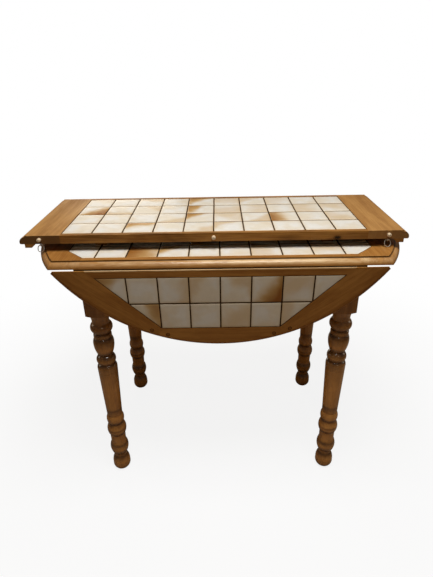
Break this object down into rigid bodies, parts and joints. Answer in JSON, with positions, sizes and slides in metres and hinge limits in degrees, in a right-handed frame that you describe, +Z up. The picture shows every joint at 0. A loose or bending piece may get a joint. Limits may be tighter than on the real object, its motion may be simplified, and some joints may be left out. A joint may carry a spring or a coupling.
{
  "type": "folding dining table",
  "caption": "Round tile-topped wooden dining table with drop leaves on rule joints, sliding top halves, turned legs and a loose extension leaf lying on top.",
  "frame": {"origin": "on the floor under the centre of the round top", "axes": "+Z up, +X along the seam and the hinge lines, -Y to the front leaf"},
  "size_m": [1.013, 0.5614, 0.8087],
  "materials": {
    "stained_wood": "satin stain",
    "plain_wood": "bare, planed",
    "pale_wood": "bare beech",
    "glazed_tile": "gloss glaze with brown flames",
    "grout": "matte",
    "hinge_steel": "dull zinc",
    "wire_steel": "bright wire"
  },
  "bodies": {
    "frame": {"front_left_leg": "stained_wood", "front_right_leg": "stained_wood", "back_left_leg": "stained_wood", "back_right_leg": "stained_wood", "front_apron": "stained_wood", "back_apron": "stained_wood", "left_apron": "stained_wood", "right_apron": "stained_wood", "corner_blocks": "plain_wood", "slide_beams": "plain_wood"},
    "front_half": {"front_half_panel": "plain_wood", "front_half_grout": "grout", "front_half_tiles": "glazed_tile", "front_half_end_boards": "stained_wood", "front_half_rule_rail": "stained_wood", "front_half_joint_strip": "stained_wood", "front_half_hinge_plates": "hinge_steel", "front_half_runners": "plain_wood", "front_half_loper_keepers": "plain_wood"},
    "back_half": {"back_half_panel": "plain_wood", "back_half_grout": "grout", "back_half_tiles": "glazed_tile", "back_half_end_boards": "stained_wood", "back_half_rule_rail": "stained_wood", "back_half_joint_strip": "stained_wood", "back_half_hinge_plates": "hinge_steel", "back_half_runners": "plain_wood", "back_half_loper_keepers": "plain_wood", "back_half_seam_dowels": "pale_wood"},
    "front_leaf": {"front_leaf_panel": "plain_wood", "front_leaf_grout": "grout", "front_leaf_tiles": "glazed_tile", "front_leaf_hinge_rail": "stained_wood", "front_leaf_side_boards": "stained_wood", "front_leaf_outer_rail": "stained_wood", "front_leaf_bearers": "plain_wood", "front_leaf_hinge_flaps": "hinge_steel"},
    "back_leaf": {"back_leaf_panel": "plain_wood", "back_leaf_grout": "grout", "back_leaf_tiles": "glazed_tile", "back_leaf_hinge_rail": "stained_wood", "back_leaf_side_boards": "stained_wood", "back_leaf_outer_rail": "stained_wood", "back_leaf_bearers": "plain_wood", "back_leaf_hinge_flaps": "hinge_steel"},
    "front_left_loper": {"front_left_loper": "plain_wood"},
    "front_right_loper": {"front_right_loper": "plain_wood"},
    "back_left_loper": {"back_left_loper": "plain_wood"},
    "back_right_loper": {"back_right_loper": "plain_wood"},
    "extension": {"extension_panel": "plain_wood", "extension_grout": "grout", "extension_tiles": "glazed_tile", "extension_end_boards": "stained_wood", "extension_strips": "stained_wood", "extension_cleats": "stained_wood", "extension_dowels": "pale_wood", "extension_catch_eyes": "wire_steel"},
    "left_catch": {"left_catch": "wire_steel"},
    "right_catch": {"right_catch": "wire_steel"}
  },
  "joints": [
    {"name": "front_half_slide", "type": "slide", "parent": "frame", "child": "front_half", "axis": [0, -1, 0], "range_m": [0, 0.17]},
    {"name": "front_leaf_fold", "type": "hinge", "parent": "front_half", "child": "front_leaf", "pos_m": [0, -0.263, 0.747], "axis": [-1, 0, 0], "range_deg": [0, 94.8]},
    {"name": "front_left_loper_slide", "type": "slide", "parent": "front_half", "child": "front_left_loper", "axis": [0, -1, 0], "range_m": [0, 0.22]},
    {"name": "front_right_loper_slide", "type": "slide", "parent": "front_half", "child": "front_right_loper", "axis": [0, -1, 0], "range_m": [0, 0.22]},
    {"name": "back_half_slide", "type": "slide", "parent": "frame", "child": "back_half", "axis": [0, 1, 0], "range_m": [0, 0.17]},
    {"name": "back_leaf_fold", "type": "hinge", "parent": "back_half", "child": "back_leaf", "pos_m": [0, 0.263, 0.747], "axis": [1, 0, 0], "range_deg": [0, 94.8]},
    {"name": "back_left_loper_slide", "type": "slide", "parent": "back_half", "child": "back_left_loper", "axis": [0, 1, 0], "range_m": [0, 0.22]},
    {"name": "back_right_loper_slide", "type": "slide", "parent": "back_half", "child": "back_right_loper", "axis": [0, 1, 0], "range_m": [0, 0.22]},
    {"name": "extension_lift", "type": "slide", "parent": "front_half", "child": "extension", "axis": [0, 0, 1], "range_m": [0, 0.12]},
    {"name": "left_catch_swing", "type": "hinge", "parent": "extension", "child": "left_catch", "pos_m": [-0.4575, -0.198, 0.7823], "axis": [-1, 0, 0], "range_deg": [0, 30]},
    {"name": "right_catch_swing", "type": "hinge", "parent": "extension", "child": "right_catch", "pos_m": [0.4275, -0.198, 0.7823], "axis": [-1, 0, 0], "range_deg": [0, 30]}
  ],
  "couplings": [
    {"joint": "front_left_loper_slide", "follows": "front_leaf_fold", "m_per_rad": 0.1329},
    {"joint": "front_right_loper_slide", "follows": "front_leaf_fold", "m_per_rad": 0.1329},
    {"joint": "back_left_loper_slide", "follows": "back_leaf_fold", "m_per_rad": 0.1329},
    {"joint": "back_right_loper_slide", "follows": "back_leaf_fold", "m_per_rad": 0.1329}
  ]
}
